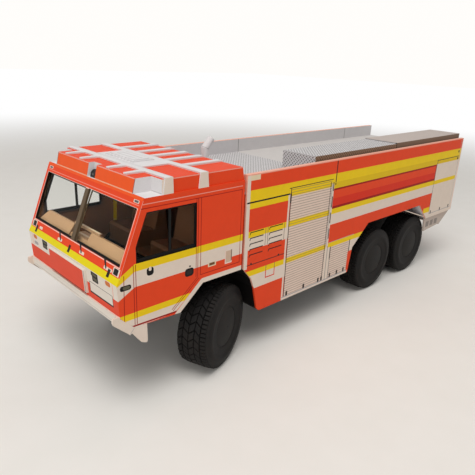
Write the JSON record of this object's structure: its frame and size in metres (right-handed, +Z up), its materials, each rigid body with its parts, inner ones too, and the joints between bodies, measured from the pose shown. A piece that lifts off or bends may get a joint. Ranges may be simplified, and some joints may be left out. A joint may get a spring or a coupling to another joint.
{
  "type": "card scale model of a water tanker fire truck",
  "caption": "Card scale model of a cab-over water tanker fire truck with a slab-sided tank body, roof lockers and steered, rolling wheels.",
  "frame": {"origin": "centre of the bounding box, at the ground under the tyres", "axes": "+X forward along the truck, +Y to its left, +Z up"},
  "size_m": [0.2904, 0.0926, 0.1009],
  "materials": {
    "red_card": "satin printed",
    "white_card": "matt",
    "grey_card": "matt printed",
    "black_card": "matt",
    "tan_card": "matt",
    "brown_card": "matt",
    "film": "clear film",
    "black_plastic": "matt",
    "tyre": "matt"
  },
  "bodies": {
    "chassis": {"body_floor": "black_card", "body_front": "red_card", "body_rear": "red_card", "body_side_left": "red_card", "body_side_right": "red_card", "bumper_band": "white_card", "bumper_end_left": "white_card", "bumper_end_right": "white_card", "cab_floor": "black_card", "cab_nose": "red_card", "cab_rear": "red_card", "cab_side_left": "red_card", "cab_side_right": "red_card", "chassis_rail_left": "black_card", "chassis_rail_right": "black_card", "cross_member_front": "black_card", "cross_member_middle": "black_card", "cross_member_rear": "black_card", "dashboard": "tan_card", "deck": "grey_card", "exhaust": "white_card", "front_axle": "black_card", "front_flap": "red_card", "locker_front": "grey_card", "locker_rear": "grey_card", "middle_axle": "black_card", "mudguard_left": "grey_card", "mudguard_right": "grey_card", "rear_axle": "black_card", "roof_hatch": "white_card", "roof_hump": "red_card", "roof_lamp": "black_card", "roof_lattice": "white_card", "roof_plate": "red_card", "seats": "brown_card", "side_film_left": "film", "side_film_right": "film", "skirt_left": "black_card", "skirt_right": "black_card", "tail_skirt": "grey_card", "windscreen_film": "film", "windscreen_frame": "red_card"},
    "steer_left": {"knuckle_left": "black_plastic"},
    "steer_right": {"knuckle_right": "black_plastic"},
    "wheel_front_left": {"wheel_front_left": "tyre", "hub_cap_front_left": "black_plastic"},
    "wheel_front_right": {"wheel_front_right": "tyre", "hub_cap_front_right": "black_plastic"},
    "wheel_middle_left": {"wheel_middle_left": "tyre", "hub_cap_middle_left": "black_plastic"},
    "wheel_middle_right": {"wheel_middle_right": "tyre", "hub_cap_middle_right": "black_plastic"},
    "wheel_rear_left": {"wheel_rear_left": "tyre", "hub_cap_rear_left": "black_plastic"},
    "wheel_rear_right": {"wheel_rear_right": "tyre", "hub_cap_rear_right": "black_plastic"}
  },
  "joints": [
    {"name": "steering_left", "type": "hinge", "parent": "chassis", "child": "steer_left", "pos_m": [0.0904, 0.028, 0.0204], "axis": [0, 0, 1], "range_deg": [-46, 4]},
    {"name": "steering_right", "type": "hinge", "parent": "chassis", "child": "steer_right", "pos_m": [0.0904, -0.028, 0.0204], "axis": [0, 0, 1], "range_deg": [-46, 4]},
    {"name": "roll_front_left", "type": "hinge", "parent": "steer_left", "child": "wheel_front_left", "pos_m": [0.0904, 0.028, 0.0204], "axis": [-0.3584, 0.9336, 0], "continuous": true},
    {"name": "roll_front_right", "type": "hinge", "parent": "steer_right", "child": "wheel_front_right", "pos_m": [0.0904, -0.028, 0.0204], "axis": [-0.3584, 0.9336, 0], "continuous": true},
    {"name": "roll_middle_left", "type": "hinge", "parent": "chassis", "child": "wheel_middle_left", "pos_m": [-0.0465, 0.0242, 0.0204], "axis": [0, 1, 0], "continuous": true},
    {"name": "roll_middle_right", "type": "hinge", "parent": "chassis", "child": "wheel_middle_right", "pos_m": [-0.0465, -0.0242, 0.0204], "axis": [0, 1, 0], "continuous": true},
    {"name": "roll_rear_left", "type": "hinge", "parent": "chassis", "child": "wheel_rear_left", "pos_m": [-0.0933, 0.0242, 0.0204], "axis": [0, 1, 0], "continuous": true},
    {"name": "roll_rear_right", "type": "hinge", "parent": "chassis", "child": "wheel_rear_right", "pos_m": [-0.0933, -0.0242, 0.0204], "axis": [0, 1, 0], "continuous": true}
  ],
  "couplings": [
    {"joint": "steering_right", "follows": "steering_left", "ratio": 1}
  ]
}
